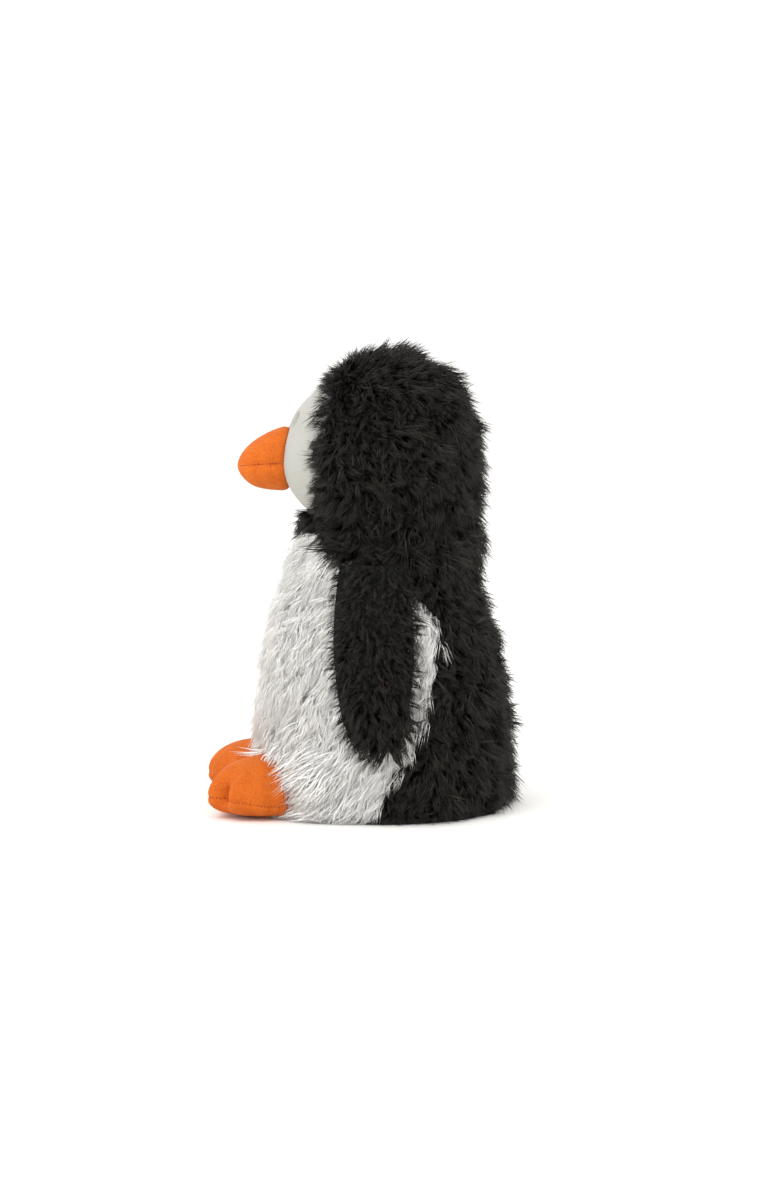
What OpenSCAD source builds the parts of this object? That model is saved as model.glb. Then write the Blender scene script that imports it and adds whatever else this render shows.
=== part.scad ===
// Sitting plush penguin: long-pile cover panels, short-pile face, stuffed beak, flippers and feet,
// fibre stuffing, a pellet bag in the base, and soft joints at the neck, shoulders and feet.
// Millimetres. The toy faces -Y, its left side is +X, and the origin is the centre of its base.
// Outer surfaces are the middle of the lying pile; single hairs stand a few millimetres above them.

/* [Body] */
// Half the width of the body where it is widest
belly_half_w = 77; // [70:1:84]
// Distance from the axis to the front of the belly
belly_front = 81; // [76:1:86]
// Distance from the axis to the back where it is deepest
belly_back = 79.5; // [74:1:84]
// Height of the widest place of the body
belly_z = 42; // [36:1:48]
// Height at which the body ends under the head
neck_z = 173; // [172:1:174]

/* [Head] */
// Half the width of the head
head_half_w = 61; // [57:1:64]
// Half the depth of the head, front to back
head_half_d = 61.5; // [58.5:1:64.5]
// Height of the crown above the widest place of the head
crown_h = 70; // [66:1:75]
// Half the angle that the face covers, seen from above
face_half_angle = 50; // [40:1:56]

/* [Beak] */
// How far the beak stands out of the face
beak_l = 28; // [22:1:36]
// Half the width of the beak at the face
beak_half_w = 19; // [14:1:20]
// Height of the upper half above the side seam
beak_upper_h = 24; // [18:1:25]
// Depth of the lower half below the side seam
beak_lower_h = 15; // [10:1:17]

/* [Flippers] */
// Length of a flipper from its shoulder seam to its tip
flipper_l = 114; // [100:1:118]
// Half the width of a flipper where it is widest
flipper_half_w = 30; // [24:1:32]
// Thickness of a flipper in its middle
flipper_t = 15; // [13:0.5:17]

/* [Feet] */
// How far a foot stands out of the belly
foot_l = 40; // [32:1:44]
// Half the width of a foot across its toes
foot_half_w = 26; // [21:1:27]
// Height of a foot at the belly
foot_h = 39; // [34:1:42]
// Distance of a foot's root from the middle of the toy
foot_x = 31; // [29:1:34]
// Angle by which the toes turn outwards
foot_yaw = 22; // [16:1:26]

/* [Fabric] */
// Thickness of a long-pile panel, backing and lying pile together
pile_t = 8; // [6:0.5:8.5]
// Thickness of a short-pile panel
short_t = 2; // [1.5:0.25:2.5]
// Diameter of an eye
eye_d = 8; // [7:0.5:9]

/* [Hidden] */

black = "#232327";
white = "#dcdcd8";
orange = "#ef7a22";
fibre = "#f2f0ea";

// Room between a panel and the stuffing behind it, which covers the facets of both
lining = 1.5;
// Half the room between two panels at a seam, in degrees round the body or limb
seam = 0.3;
// Room between parts that move against each other
free = 0.7;

// Body stations: height, half width, distance to the front, distance to the back
body_stations = [
    [0, belly_half_w - 3, belly_front - 6, belly_back - 2],
    [belly_z, belly_half_w, belly_front, belly_back],
    [100, belly_half_w - 4, belly_front - 7, belly_back - 9],
    [138, belly_half_w - 15, belly_front - 16, belly_back - 22],
    [neck_z, belly_half_w - 27, belly_front - 29, belly_back - 17],
];
hem_r = 8;
base_t = 3;
body_levels = [3.4, 5, 8, 16, 28, 42, 56, 70, 82, 94, 106, 116, 124, 130, 136, 141, 146, 151, 156, 161,
               167, neck_z];
// White belly's side seams: height, angle from the front
belly_seam = [[0, 86], [48, 104], [95, 112], [124, 117], [142, 92], [160, 52], [neck_z, 30]];

head_z = 214;            // height of the widest place of the head
head_y = -1.5;           // how far its middle lies in front of the body's axis
chin_h = 60;             // depth of the head's lower half, if it were a whole ellipsoid
chin_el = -28;           // elevation at which the head ends above the body
face_low = -32;          // the face's lowest and highest elevation, seen from the head's middle
face_high = 50;
head_levels = [for (e = [chin_el:6:44]) e, 47, 49, face_high, 56, 62, 68, 74, 80, 85, 89];
pivot = [0, 1, 180];     // the neck bends about this point
knob_r = 26;             // neck knob of the body stuffing

beak_seam_z = 212;
beak_places = [0, 0.1, 0.22, 0.36, 0.5, 0.64, 0.76, 0.86, 0.93, 0.975, 0.998];

eye_x = 10.5;
eye_z = 241;
eye_sink = 6.5;          // depth of the dimple that the thread pulls an eye into
eye_top = 3.3;           // depth of an eye's top below the face
shank_r = 1.5;
shank_end = eye_sink + short_t + 3; // depth at which an eye's shank ends

shoulder_z = 158;        // height of the shoulder seams
flipper_y = -10.5;       // a flipper's middle line
// Flipper outline: place down its length from 0 to 1, share of its half width
flipper_outline = [[0, 0.8], [0.25, 0.97], [0.5, 1], [0.8, 0.83], [1, 0.4]];
flipper_places = [1, 0.97, 0.93, 0.86, 0.76, 0.64, 0.5, 0.38, 0.26, 0.16, 0.08, 0.03, 0];

foot_hinge_z = 20;
foot_lift = 20;          // angle by which a foot lifts, in degrees
foot_seam_z = 9;         // height of the seam round a foot at its root
foot_seam_rise = 9;      // rise of that seam towards the toes
foot_places = [0, 0.12, 0.26, 0.4, 0.54, 0.66, 0.77, 0.86, 0.92, 0.97, 0.998];

bag_r = 42;
bag_h = 14;              // half the height of the pellet bag
bag_z = base_t + 1 + bag_h;
bag_room = 1.2;          // room round the pellet bag in the stuffing

// ---------- functions ----------

// Smooth value of column c through stations [place, value, ...], at place z
function slope(s, i, c) =
    let (a = max(i - 1, 0), b = min(i + 1, len(s) - 1)) (s[b][c] - s[a][c]) / (s[b][0] - s[a][0]);
function station(s, z) = max([for (i = [0:len(s) - 2]) if (i == 0 || z >= s[i][0]) i]);
function through(s, z, c = 1) =
    let (i = station(s, z), h = s[i + 1][0] - s[i][0], t = (z - s[i][0]) / h)
    (2 * t ^ 3 - 3 * t ^ 2 + 1) * s[i][c] + (t ^ 3 - 2 * t ^ 2 + t) * h * slope(s, i, c)
    + (3 * t ^ 2 - 2 * t ^ 3) * s[i + 1][c] + (t ^ 3 - t ^ 2) * h * slope(s, i + 1, c);
function ease(t) = let (c = min(1, max(0, t))) c * c * (3 - 2 * c);
// Size v less a thickness d, but never quite closed
function inset(v, d) = max(v / 10, v - d);
function middle(r) = [for (k = [0:2]) let (c = [for (p = r) p[k]]) (min(c) + max(c)) / 2];

// Point of the body's surface, d below the pile's middle. Angle 0 is the front, 90 the toy's left.
function hem(z) = z < hem_r ? hem_r - sqrt(hem_r ^ 2 - (hem_r - z) ^ 2) : 0;
function body_point(angle, z, d = 0) =
    let (off = d + hem(z), reach = through(body_stations, z, cos(angle) > 0 ? 2 : 3))
    [(through(body_stations, z) - off) * sin(angle), -(reach - off) * cos(angle), z];
// X of the body's left side at a place given by y and z
function body_side(y, z) =
    through(body_stations, z) * sqrt(1 - (y / through(body_stations, z, y < 0 ? 2 : 3)) ^ 2);
function belly_edge(z) = through(belly_seam, z);

// Point of the head's surface, by angle round it and elevation
function head_point(angle, el, d = 0) = [
    (head_half_w - d) * cos(el) * sin(angle),
    head_y + 4 * sin(el) ^ 2 - (head_half_d - d) * cos(el) * cos(angle),
    head_z + ((el > 0 ? crown_h : chin_h) - d) * sin(el),
];
function face_edge(el) =
    let (t = (2 * el - face_low - face_high) / (face_high - face_low))
    el > face_high ? 0 : max(1.2, face_half_angle * sqrt(max(0, 1 - t ^ 4)));
// Y of the head's front at a place given by x and z
function head_rise(z) = (z - head_z) / (z > head_z ? crown_h : chin_h);
function head_front(x, z) =
    head_y + 4 * head_rise(z) ^ 2
    - head_half_d * sqrt(1 - (x / head_half_w) ^ 2 - head_rise(z) ^ 2);

// Point of the beak, by place along it (0 at the face, 1 at the tip) and angle round it
function beak_section(s, a, d) =
    let (half_w = beak_half_w * (1 - s ^ 2.2) ^ 0.55,
         half_h = sin(a) > 0 ? beak_upper_h * (1 - s ^ 1.3) ^ 0.6 : beak_lower_h * (1 - s ^ 3) ^ 0.6)
    [inset(half_w, d) * cos(a), beak_seam_z + inset(half_h, d) * sin(a)];
// Point where the beak meets the face, for a share of its section
function beak_root(share, a, d) =
    let (p = beak_section(0, a, d), x = p.x * share, z = beak_seam_z + (p.y - beak_seam_z) * share)
    [x, head_front(x, z) - free / 2, z];
function beak_point(s, a, d = 0) =
    let (root = beak_section(0, a, d), p = beak_section(s, a, d))
    [p.x, head_front(root.x, root.y) * (1 - s) + (head_y - head_half_d - beak_l + d) * s - free / 2,
     p.y];

// Point of the left flipper: u across it from -1 (front) to 1 (back), v down it, w through it
function flipper_depth(u, v) =
    flipper_t * (0.22 + 0.78 * sqrt(max(0, 1 - u * u))) * (0.62 + 0.38 * sin(144 * v + 18));
function flipper_point(u, v, w) =
    let (y = flipper_y + u * flipper_half_w * through(flipper_outline, v), z = shoulder_z - flipper_l * v)
    [body_side(y, z) + free + flipper_depth(u, v) * w, y, z];
// Share of the flipper's thickness at which its outer panel ends: the two panels meet at the rim
function flipper_lap(u, v) =
    0.62 - 0.38 * ease(max((abs(u) - 0.82) / 0.18, (0.06 - v) / 0.06, (v - 0.93) / 0.07));

// Point of a foot in its own frame: x across it, y away from the belly, z up
function foot_root(z) = (z - foot_hinge_z) * (z < foot_hinge_z ? 0.15 : tan(foot_lift) + 0.14);
function foot_end(x) = foot_l * (1 - 0.16 * (x / foot_half_w) ^ 2);
function foot_point(s, a, d = 0) =
    let (seam_z = foot_seam_z + foot_seam_rise * s ^ 3,
         w = inset(foot_half_w * (0.84 + 0.16 * sin(150 * s)) * (1 - s ^ 6) ^ 0.5, d),
         up = inset((foot_h - foot_seam_z) * (1 - s ^ 2) ^ 0.62, d),
         down = inset((seam_z - 0.5) * (1 - s ^ 5) ^ 0.6, d),
         x = -w * cos(a),
         z = seam_z + (sin(a) > 0 ? up * sin(a) : -down * abs(sin(a)) ^ 0.6))
    [x, foot_root(z) * (1 - s) + (foot_end(x) - d) * s, z];

// Half outline of a sewn bag: a rounded rectangle of radius r and half height h
function bag_outline(r, h) =
    [for (a = [-90:7.5:90]) [r * cos(a) ^ 0.77, h * sign(a) * abs(sin(a)) ^ 0.77]];
// One turn of an outline point about the Z axis through [0, y]
function turn(p, y, z) = [for (a = [0:10:350]) [p.x * sin(a), y - p.x * cos(a), z + p.y]];

// ---------- solids from points ----------

// Closed solid through a stack of rings, each ring anticlockwise seen from the end of the stack
module ring_solid(rings) {
    n = len(rings[0]);
    last = len(rings) - 1;
    points = [for (r = rings) each r, middle(rings[0]), middle(rings[last])];
    polyhedron(points, [
        for (i = [0:last - 1], j = [0:n - 1])
            let (a = i * n + j, b = i * n + (j + 1) % n, c = b + n, d = a + n)
            each [[a, d, c], [a, c, b]],
        for (j = [0:n - 1]) [(last + 1) * n, j, (j + 1) % n],
        for (j = [0:n - 1]) [(last + 1) * n + 1, last * n + (j + 1) % n, last * n + j],
    ]);
}

// Closed panel between an outer and an inner grid of points, each grid a list of rows
module panel_solid(outer, inner) {
    n = len(outer[0]);
    last = len(outer) - 1;
    loop = 2 * n;
    points = [for (i = [0:last]) each concat(outer[i], [for (j = [n - 1:-1:0]) inner[i][j]])];
    polyhedron(points, [
        // the side walls are both split from outer to inner, so that two panels' walls match at a seam
        for (i = [0:last - 1], j = [0:loop - 1])
            let (a = i * loop + j, b = i * loop + (j + 1) % loop, c = b + loop, d = a + loop)
            each (j == loop - 1 ? [[a, d, b], [b, d, c]] : [[a, d, c], [a, c, b]]),
        for (o = [0:n - 2]) let (i = loop - 1 - o) each [[o, o + 1, i - 1], [o, i - 1, i]],
        for (j = [0:n - 2]) let (o = last * loop + j, i = (last + 1) * loop - 1 - j)
            each [[o, i - 1, o + 1], [o, i, i - 1]],
    ]);
}

module body_panel(from, to, steps) {
    function row(z, d) = let (a = from(z) + seam, b = to(z) - seam)
        [for (j = [0:steps]) body_point(a + (b - a) * j / steps, z, d)];
    panel_solid([for (z = body_levels) row(z, 0)], [for (z = body_levels) row(z, pile_t)]);
}

module head_panel(from, to, levels, t) {
    steps = 14;
    function row(el, d) = let (a = from(el) + seam, b = to(el) - seam)
        [for (j = [0:steps]) head_point(a + (b - a) * j / steps, el, d)];
    panel_solid([for (el = levels) row(el, 0)], [for (el = levels) row(el, t)]);
}

// ---------- body ----------

module belly_panel() {
    color(white) body_panel(function (z) -belly_edge(z), function (z) belly_edge(z), 24);
}

module back_left_panel() {
    color(black) body_panel(function (z) belly_edge(z), function (z) 180, 12);
}

module back_right_panel() {
    color(black) body_panel(function (z) 180, function (z) 360 - belly_edge(z), 12);
}

module base_panel() {
    color(black) linear_extrude(base_t)
        polygon([for (a = [0:7.5:352.5]) let (p = body_point(a, 1.2)) [p.x, p.y]]);
}

// The stuffing is hollow over the pellet bag, and its knob fills the neck
module body_stuffing() {
    d = pile_t + lining;
    room = bag_outline(bag_r + bag_room, bag_h + bag_room);
    color(fibre) ring_solid([
        for (i = [len(room) - 2:-1:floor(len(room) / 2)]) turn(room[i], 0, bag_z),
        turn([bag_r + bag_room, 0], 0, base_t + 1),
        for (z = body_levels) [for (a = [0:10:350]) body_point(a, max(z, base_t + 1), d)],
        for (a = [-8:12:88]) turn([knob_r * cos(a), knob_r * sin(a)], pivot.y, pivot.z),
    ]);
}

module pellet_bag() {
    color("#e8e2d2") translate([0, 0, bag_z]) difference() {
        rotate_extrude($fn = 72) polygon(bag_outline(bag_r, bag_h));
        rotate_extrude($fn = 72) polygon(bag_outline(bag_r - 1, bag_h - 1));
    }
}

module pellets() {
    color("#f4f2ee") translate([0, 0, bag_z])
        rotate_extrude($fn = 72) polygon(bag_outline(bag_r - 1.4, bag_h - 1.4));
}

// ---------- head ----------

module head_left_panel() {
    color(black) head_panel(function (el) face_edge(el), function (el) 180, head_levels, pile_t);
}

module head_right_panel() {
    color(black) head_panel(function (el) 180, function (el) 360 - face_edge(el), head_levels, pile_t);
}

// Places children at an eye: origin on the face, Z straight out of it
module at_eye(side) {
    y = head_front(eye_x, eye_z);
    n = [eye_x / head_half_w ^ 2, (y - head_y) / head_half_d ^ 2, (eye_z - head_z) / crown_h ^ 2];
    translate([side * eye_x, y, eye_z])
        rotate([90 - asin(n.z / norm(n)), 0, side * atan2(n.x, -n.y)]) children();
}

// The face's backing is pulled into a dimple behind each eye
module face_panel() {
    levels = [for (el = head_levels) if (el <= face_high) el];
    color(white) difference() {
        union() {
            head_panel(function (el) -face_edge(el), function (el) face_edge(el), levels, short_t);
            for (side = [-1, 1]) at_eye(side)
                translate([0, 0, -eye_sink - short_t])
                    cylinder(d = eye_d + 4.8, h = eye_sink + short_t - 0.9, $fn = 64);
        }
        for (side = [-1, 1]) at_eye(side) {
            translate([0, 0, -eye_sink]) cylinder(d = eye_d + 1.2, h = 8, $fn = 64);
            translate([0, 0, -12]) cylinder(r = shank_r + 0.3, h = 12, $fn = 32);
        }
    }
}

module eye(side) {
    dome_r = eye_d / 2 + 0.1;
    color("#0a0a0a") at_eye(side) union() {
        intersection() {
            translate([0, 0, -eye_top - dome_r]) sphere(r = dome_r, $fn = 64);
            translate([0, 0, 0.1 - eye_sink]) cylinder(d = eye_d, h = eye_d, $fn = 64);
        }
        translate([0, 0, -shank_end]) cylinder(r = shank_r, h = shank_end + 0.1 - eye_sink, $fn = 32);
    }
}

module eye_washer(side) {
    color("#f0f0f0") at_eye(side) translate([0, 0, -eye_sink - short_t - 1.3]) difference() {
        cylinder(r = 5.6, h = 1.1, $fn = 64);
        translate([0, 0, -1]) cylinder(r = shank_r + 0.2, h = 4, $fn = 32);
    }
}

module left_eye() { eye(1); }

module right_eye() { eye(-1); }

module left_eye_washer() { eye_washer(1); }

module right_eye_washer() { eye_washer(-1); }

// The stuffing comes further forward behind the short-pile face than behind the long pile
module head_stuffing() {
    function depth(a, el) =
        let (short = ease((face_edge(el) - min(a, 360 - a) - 6) / 12))
        lining + short_t * short + pile_t * (1 - short);
    socket_r = knob_r + 1;
    color(fibre) difference() {
        ring_solid([
            for (a = [84:-12:24]) turn([socket_r * cos(a), socket_r * sin(a)], pivot.y, pivot.z),
            for (el = head_levels) [for (a = [0:10:350]) head_point(a, el, depth(a, el))],
        ]);
        for (side = [-1, 1]) at_eye(side)
            translate([0, 0, -shank_end - 1.6]) cylinder(d = eye_d + 6.2, h = shank_end + 4.6, $fn = 64);
    }
}

// ---------- beak ----------

module beak_panel(from, to) {
    function row(s, d) = [for (j = [0:12]) beak_point(s, from + (to - from) * j / 12, d)];
    color(orange)
        panel_solid([for (s = beak_places) row(s, 0)], [for (s = beak_places) row(s, short_t)]);
}

module beak_upper() { beak_panel(seam, 180 - seam); }

module beak_lower() { beak_panel(180 + seam, 360 - seam); }

module beak_stuffing() {
    d = short_t + lining / 2;
    color(fibre) ring_solid([
        for (share = [0.1, 0.4, 0.7]) [for (a = [0:15:345]) beak_root(share, a, d)],
        for (s = beak_places) if (s < 0.9) [for (a = [0:15:345]) beak_point(s, a, d)],
    ]);
}

// ---------- flippers ----------

// Layer of a flipper between two shares of its thickness, drawn for the left side
module flipper_layer(places, from, to, reach = 1) {
    function row(v, w) = [for (a = [-90:15:90])
        let (u = reach * sin(a)) flipper_point(u, v, w(u, v))];
    panel_solid([for (v = places) row(v, to)], [for (v = places) row(v, from)]);
}

module flipper_outer() {
    color(black)
        flipper_layer(flipper_places, function (u, v) flipper_lap(u, v), function (u, v) 1);
}

module flipper_inner() {
    color(black) flipper_layer(flipper_places, function (u, v) 0, function (u, v) 0.2);
}

module flipper_stuffing() {
    places = [for (v = flipper_places) if (v >= 0.08 && v <= 0.93) v];
    color(fibre)
        flipper_layer(places, function (u, v) 0.25, function (u, v) 0.57, 0.8);
}

module left_flipper_outer() { flipper_outer(); }

module left_flipper_inner() { flipper_inner(); }

module left_flipper_stuffing() { flipper_stuffing(); }

module right_flipper_outer() { mirror([1, 0, 0]) flipper_outer(); }

module right_flipper_inner() { mirror([1, 0, 0]) flipper_inner(); }

module right_flipper_stuffing() { mirror([1, 0, 0]) flipper_stuffing(); }

// ---------- feet ----------

// Places children at the left foot's root, against the belly at the height of the foot's hinge
module at_foot() {
    reach = norm([through(body_stations, foot_hinge_z) * sin(foot_yaw),
                  through(body_stations, foot_hinge_z, 2) * cos(foot_yaw)]) + free;
    y = (foot_x * sin(foot_yaw) - reach) / cos(foot_yaw);
    translate([foot_x, y, 0]) rotate([0, 0, 180 + foot_yaw]) children();
}

module foot_panel(from, to) {
    function row(s, d) = [for (j = [0:14]) foot_point(s, from + (to - from) * j / 14, d)];
    color(orange) at_foot()
        panel_solid([for (s = foot_places) row(s, 0)], [for (s = foot_places) row(s, short_t)]);
}

module foot_stuffing() {
    places = [for (s = foot_places) if (s < 0.95) s];
    color(fibre) at_foot() ring_solid([for (s = places)
        [for (a = [0:12:348]) foot_point(s, a, short_t + lining)]]);
}

module left_foot_top() { foot_panel(seam, 180 - seam); }

module left_foot_sole() { foot_panel(180 + seam, 360 - seam); }

module left_foot_stuffing() { foot_stuffing(); }

module right_foot_top() { mirror([1, 0, 0]) foot_panel(seam, 180 - seam); }

module right_foot_sole() { mirror([1, 0, 0]) foot_panel(180 + seam, 360 - seam); }

module right_foot_stuffing() { mirror([1, 0, 0]) foot_stuffing(); }

// ---------- nodes ----------

belly_panel();
back_left_panel();
back_right_panel();
base_panel();
body_stuffing();
pellet_bag();
pellets();
head_left_panel();
head_right_panel();
face_panel();
head_stuffing();
beak_upper();
beak_lower();
beak_stuffing();
left_eye();
right_eye();
left_eye_washer();
right_eye_washer();
left_flipper_outer();
left_flipper_inner();
left_flipper_stuffing();
right_flipper_outer();
right_flipper_inner();
right_flipper_stuffing();
left_foot_top();
left_foot_sole();
left_foot_stuffing();
right_foot_top();
right_foot_sole();
right_foot_stuffing();
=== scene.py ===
"""Looks of the sitting plush penguin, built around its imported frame.

The toy faces -Y, its left side is +X, and the origin is the centre of its base. Metres.
"""

import bpy
import math
import numpy as np
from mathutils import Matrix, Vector, noise
from mathutils.bvhtree import BVHTree


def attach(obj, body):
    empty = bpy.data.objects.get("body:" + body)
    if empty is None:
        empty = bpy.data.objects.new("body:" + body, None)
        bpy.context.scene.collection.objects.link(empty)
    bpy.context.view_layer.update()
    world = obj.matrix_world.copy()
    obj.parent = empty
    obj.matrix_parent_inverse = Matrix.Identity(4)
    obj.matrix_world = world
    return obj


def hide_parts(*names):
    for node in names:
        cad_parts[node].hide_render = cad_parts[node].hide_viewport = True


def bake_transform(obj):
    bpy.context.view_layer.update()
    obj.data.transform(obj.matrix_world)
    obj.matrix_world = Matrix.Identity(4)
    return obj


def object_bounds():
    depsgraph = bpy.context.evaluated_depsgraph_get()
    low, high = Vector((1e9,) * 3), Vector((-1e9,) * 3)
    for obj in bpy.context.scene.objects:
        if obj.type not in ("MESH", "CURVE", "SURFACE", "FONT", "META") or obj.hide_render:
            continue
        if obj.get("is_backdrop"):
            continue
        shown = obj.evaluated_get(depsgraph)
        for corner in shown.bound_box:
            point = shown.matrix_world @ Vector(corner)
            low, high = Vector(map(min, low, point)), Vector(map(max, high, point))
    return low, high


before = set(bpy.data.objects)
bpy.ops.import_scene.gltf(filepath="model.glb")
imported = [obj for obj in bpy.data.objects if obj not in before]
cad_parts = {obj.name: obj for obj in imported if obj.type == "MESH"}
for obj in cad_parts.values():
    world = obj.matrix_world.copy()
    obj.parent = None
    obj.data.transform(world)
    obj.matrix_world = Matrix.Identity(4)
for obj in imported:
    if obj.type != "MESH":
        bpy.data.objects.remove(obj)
cad_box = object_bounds()
scene = bpy.context.scene
MM = 0.001


# ---------- Camera, floor and light ----------
# The toy sits on a plain white sweep, seen from its left side and a little from above.
# Soft light comes from all round, with one large lamp above the front.

VIEW_AZIMUTH = math.radians(87)
VIEW_HEIGHT = math.radians(7)
VIEW_DISTANCE = 2.0
VIEW_FIELD = 0.7415          # height of what the camera sees at the toy, in metres
LOOK_AT = Vector((0, 0.003, 0.1293))

camera = bpy.data.objects.new("camera", bpy.data.cameras.new("camera"))
scene.collection.objects.link(camera)
towards = Vector((
    math.sin(VIEW_AZIMUTH) * math.cos(VIEW_HEIGHT),
    -math.cos(VIEW_AZIMUTH) * math.cos(VIEW_HEIGHT),
    math.sin(VIEW_HEIGHT),
))
camera.location = LOOK_AT + towards * VIEW_DISTANCE
camera.rotation_euler = (-towards).to_track_quat("-Z", "Y").to_euler()
camera.data.sensor_fit = "VERTICAL"
camera.data.sensor_height = 24
camera.data.lens = 24 * VIEW_DISTANCE / VIEW_FIELD
camera.data.clip_end = 50
scene.camera = camera
scene.view_settings.view_transform = "Standard"


class Value:
    """A number, colour or vector that varies over a surface: an output socket of a shader node."""

    def __init__(self, finish, socket):
        self.finish, self.socket = finish, socket

    def maths(self, operation, a, b):
        return self.finish.node("ShaderNodeMath", {"operation": operation}, {0: a, 1: b})

    def __add__(self, other):
        return self.maths("ADD", self, other)

    def __mul__(self, other):
        return self.maths("MULTIPLY", self, other)

    def __sub__(self, other):
        return self.maths("SUBTRACT", self, other)

    def __pow__(self, other):
        return self.maths("POWER", self, other)


class Finish:
    """A material, with one method that adds any node to it."""

    def __init__(self, name, **constants):
        self.material = bpy.data.materials.new(name)
        self.material.use_nodes = True
        self.tree = self.material.node_tree
        self.shader = self.tree.nodes["Principled BSDF"]
        for socket, value in constants.items():
            self.shader.inputs[socket.replace("_", " ")].default_value = value

    def put(self, socket, value):
        if isinstance(value, Value):
            self.tree.links.new(value.socket, socket)
        else:
            socket.default_value = value

    def node(self, kind, settings=None, values=None, out=0):
        made = self.tree.nodes.new(kind)
        for name, setting in (settings or {}).items():
            setattr(made, name, setting)
        for name, value in (values or {}).items():
            self.put(made.inputs[name], value)
        return Value(self, made.outputs[out])

    def noise(self, scale, detail=2.0):
        at = self.node("ShaderNodeTexCoord", out="Object")
        return self.node("ShaderNodeTexNoise", None, {"Vector": at, "Scale": scale, "Detail": detail})

    def mix(self, factor, a, b):
        values = {0: factor, 6: a, 7: b}
        return self.node("ShaderNodeMix", {"data_type": "RGBA"}, values, 2)

    def bump(self, height, strength, distance, under=None):
        values = {"Height": height, "Strength": strength, "Distance": distance}
        if under:
            values["Normal"] = under
        return self.node("ShaderNodeBump", None, values)

    def set(self, **sockets):
        for name, value in sockets.items():
            self.put(self.shader.inputs[name.replace("_", " ")], value)
        return self.material


def mesh_object(name, points, faces, materials=()):
    mesh = bpy.data.meshes.new(name)
    mesh.from_pydata([tuple(p) for p in points], [], faces)
    mesh.polygons.foreach_set("use_smooth", [True] * len(mesh.polygons))
    for material in materials:
        mesh.materials.append(material)
    made = bpy.data.objects.new(name, mesh)
    scene.collection.objects.link(made)
    return made


floor_finish = Finish("sweep", Roughness=0.9)
floor_finish.set(Base_Color=floor_finish.mix(
    floor_finish.noise(3), (0.94, 0.925, 0.89, 1), (0.95, 0.935, 0.90, 1)))
floor = mesh_object(
    "floor", [(-6, -6, 0), (6, -6, 0), (6, 6, 0), (-6, 6, 0)], [(0, 1, 2, 3)],
    [floor_finish.material])
floor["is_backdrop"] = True

scene.world = bpy.data.worlds.new("room")
scene.world.use_nodes = True
scene.world.node_tree.nodes["Background"].inputs["Color"].default_value = (1, 1, 1, 1)
scene.world.node_tree.nodes["Background"].inputs["Strength"].default_value = 1.22

for name, place, size, power in (
    ("lamp_front", (0.9, -1.0, 1.5), 1.2, 14),
    ("lamp_back", (0.3, 1.4, 1.3), 1.2, 8),
):
    lamp = bpy.data.objects.new(name, bpy.data.lights.new(name, "AREA"))
    lamp.data.size, lamp.data.energy = size, power
    lamp.location = place
    lamp.rotation_euler = (Vector((0, 0, 0.15)) - Vector(place)).to_track_quat("-Z", "Y").to_euler()
    scene.collection.objects.link(lamp)


# ---------- Body ----------
# The body is a sewn bag of long-pile cloth, stuffed with fibre over a bag of pellets: a white belly
# and a black back. Its cloth backing is made first, one pile height inside the pile's own surface.

PILE_T = 8 * MM
BODY_TOP = 172.8 * MM
RAY_START = 0.3              # rays at the body start well outside it


def solid_of(*names):
    """One surface, to cast rays at, of the named solids of the frame."""
    points, faces = [], []
    for name in names:
        mesh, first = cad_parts[name].data, len(points)
        points += [v.co.copy() for v in mesh.vertices]
        faces += [[first + i for i in p.vertices] for p in mesh.polygons]
    return BVHTree.FromPolygons(points, faces)


def reach(solid, middle, direction, depth):
    """Point of a solid's outside, seen from its middle in a direction, moved in by a depth."""
    best = 0.0
    for turn in (-0.02, 0, 0.02):
        c, s = math.cos(turn), math.sin(turn)
        d = Vector((direction.x * c - direction.y * s, direction.x * s + direction.y * c, direction.z))
        place = solid.ray_cast(middle + d * RAY_START, -d)[0]
        if place:
            best = max(best, (place - middle).length)
    return middle + direction * (best - depth)


def between(value, places, amounts):
    return float(np.interp(value, places, amounts))


def ease(value, start, end):
    t = min(1.0, max(0.0, (value - start) / (end - start)))
    return t * t * (3 - 2 * t)


def belly_edge(z):
    """Angle from the front, in degrees, at which the white belly meets the black back."""
    return between(z / MM, [0, 24, 48, 72, 95, 109, 124, 133, 142, 152, 160, 166, 175],
                   [80, 89, 101, 109, 112, 115, 119, 111, 92, 70, 52, 44, 34])


def ring(angle):
    return Vector((math.sin(math.radians(angle)), -math.cos(math.radians(angle)), 0))


def tube_faces(rows, columns):
    return [
        (i * columns + j, i * columns + (j + 1) % columns,
         (i + 1) * columns + (j + 1) % columns, (i + 1) * columns + j)
        for i in range(rows - 1) for j in range(columns)
    ]


def closed_tube(name, rows, first, last, materials):
    """Closed surface through rings of points, between its first and its last point."""
    columns = len(rows[0])
    points = [p for row in rows for p in row] + [first, last]
    faces = tube_faces(len(rows), columns)
    faces += [(len(points) - 2, (j + 1) % columns, j) for j in range(columns)]
    top = (len(rows) - 1) * columns
    faces += [(len(points) - 1, top + j, top + (j + 1) % columns) for j in range(columns)]
    return mesh_object(name, points, faces, materials)


body_solid = solid_of("belly_panel", "back_left_panel", "back_right_panel")
body_heights = [z * MM for z in (3.6, 5, 7, *range(10, 172, 3), BODY_TOP / MM)]
body_angles = [a * 3.0 for a in range(120)]
body_rows = [
    [reach(body_solid, Vector((0, 0, z)), ring(a), PILE_T) for a in body_angles]
    for z in body_heights
]

white_backing = Finish("white_backing", Roughness=0.9)
white_backing.set(Base_Color=white_backing.mix(
    white_backing.noise(900), (0.82, 0.81, 0.78, 1), (0.9, 0.89, 0.86, 1)))
black_backing = Finish("black_backing", Roughness=0.9)
black_backing.set(Base_Color=black_backing.mix(
    black_backing.noise(900), (0.002, 0.002, 0.002, 1), (0.005, 0.005, 0.005, 1)))

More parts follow.
